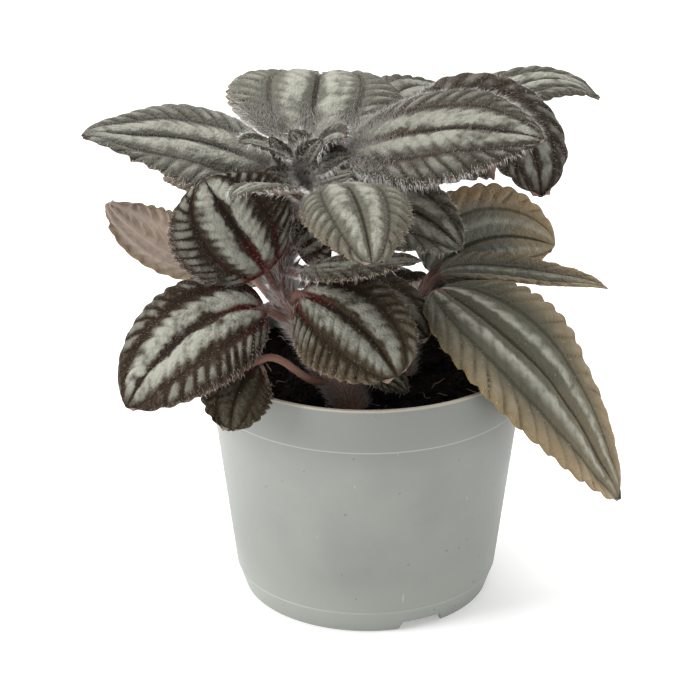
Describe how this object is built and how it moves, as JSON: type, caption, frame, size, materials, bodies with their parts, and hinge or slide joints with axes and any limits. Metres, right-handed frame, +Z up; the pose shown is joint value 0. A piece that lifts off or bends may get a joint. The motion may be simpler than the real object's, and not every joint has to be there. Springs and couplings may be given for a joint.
{
  "type": "potted friendship plant",
  "caption": "Low bushy house plant with broad, quilted, tooth-edged leaves on hairy stems, rooted in compost in a small tapered plastic nursery pot.",
  "frame": {"origin": "centre of the pot's foot, on the surface the pot stands on; the box of the whole plant is centred over it", "axes": "+Z up, along the pot's axis; -Y towards the front, where the crown leans; +X to the right seen from the front"},
  "size_m": [0.1473, 0.1123, 0.1483],
  "materials": {
    "pot_plastic": "pale grey-green, satin, thin",
    "compost": "dark moist peat compost",
    "stem": "fleshy, pink-brown, hairy",
    "leaf": "bronze-green with silver bands, quilted, hairy"
  },
  "bodies": {
    "root": {"pot": "pot_plastic", "soil": "compost", "main_shoot": "stem", "right_shoot": "stem", "back_shoot": "stem", "leaf_top_left": "leaf", "leaf_top_back": "leaf", "leaf_top_right": "leaf", "leaf_top_broad": "leaf", "leaf_top_far_right": "leaf", "leaf_top_far_back": "leaf", "leaf_front_left": "leaf", "leaf_front_droop": "leaf", "leaf_right_fan": "leaf", "young_leaf_left": "leaf", "young_leaf_middle": "leaf", "leaf_middle_upright": "leaf", "leaf_lower_left": "leaf", "leaf_lower_front": "leaf", "leaf_middle_right": "leaf", "leaf_lower_dark": "leaf", "leaf_middle_small": "leaf", "leaf_rim_round": "leaf", "leaf_shade_small": "leaf", "leaf_back_left": "leaf", "leaf_big_right": "leaf", "leaf_right_folded": "leaf", "leaf_right_upright": "leaf", "leaf_back_right": "leaf", "leaf_back_centre": "leaf", "leaf_back_wide": "leaf", "leaf_back_side": "leaf", "leaf_back_low_left": "leaf", "leaf_back_low_right": "leaf", "leaf_behind_left": "leaf", "leaf_behind_top": "leaf"}
  },
  "joints": []
}
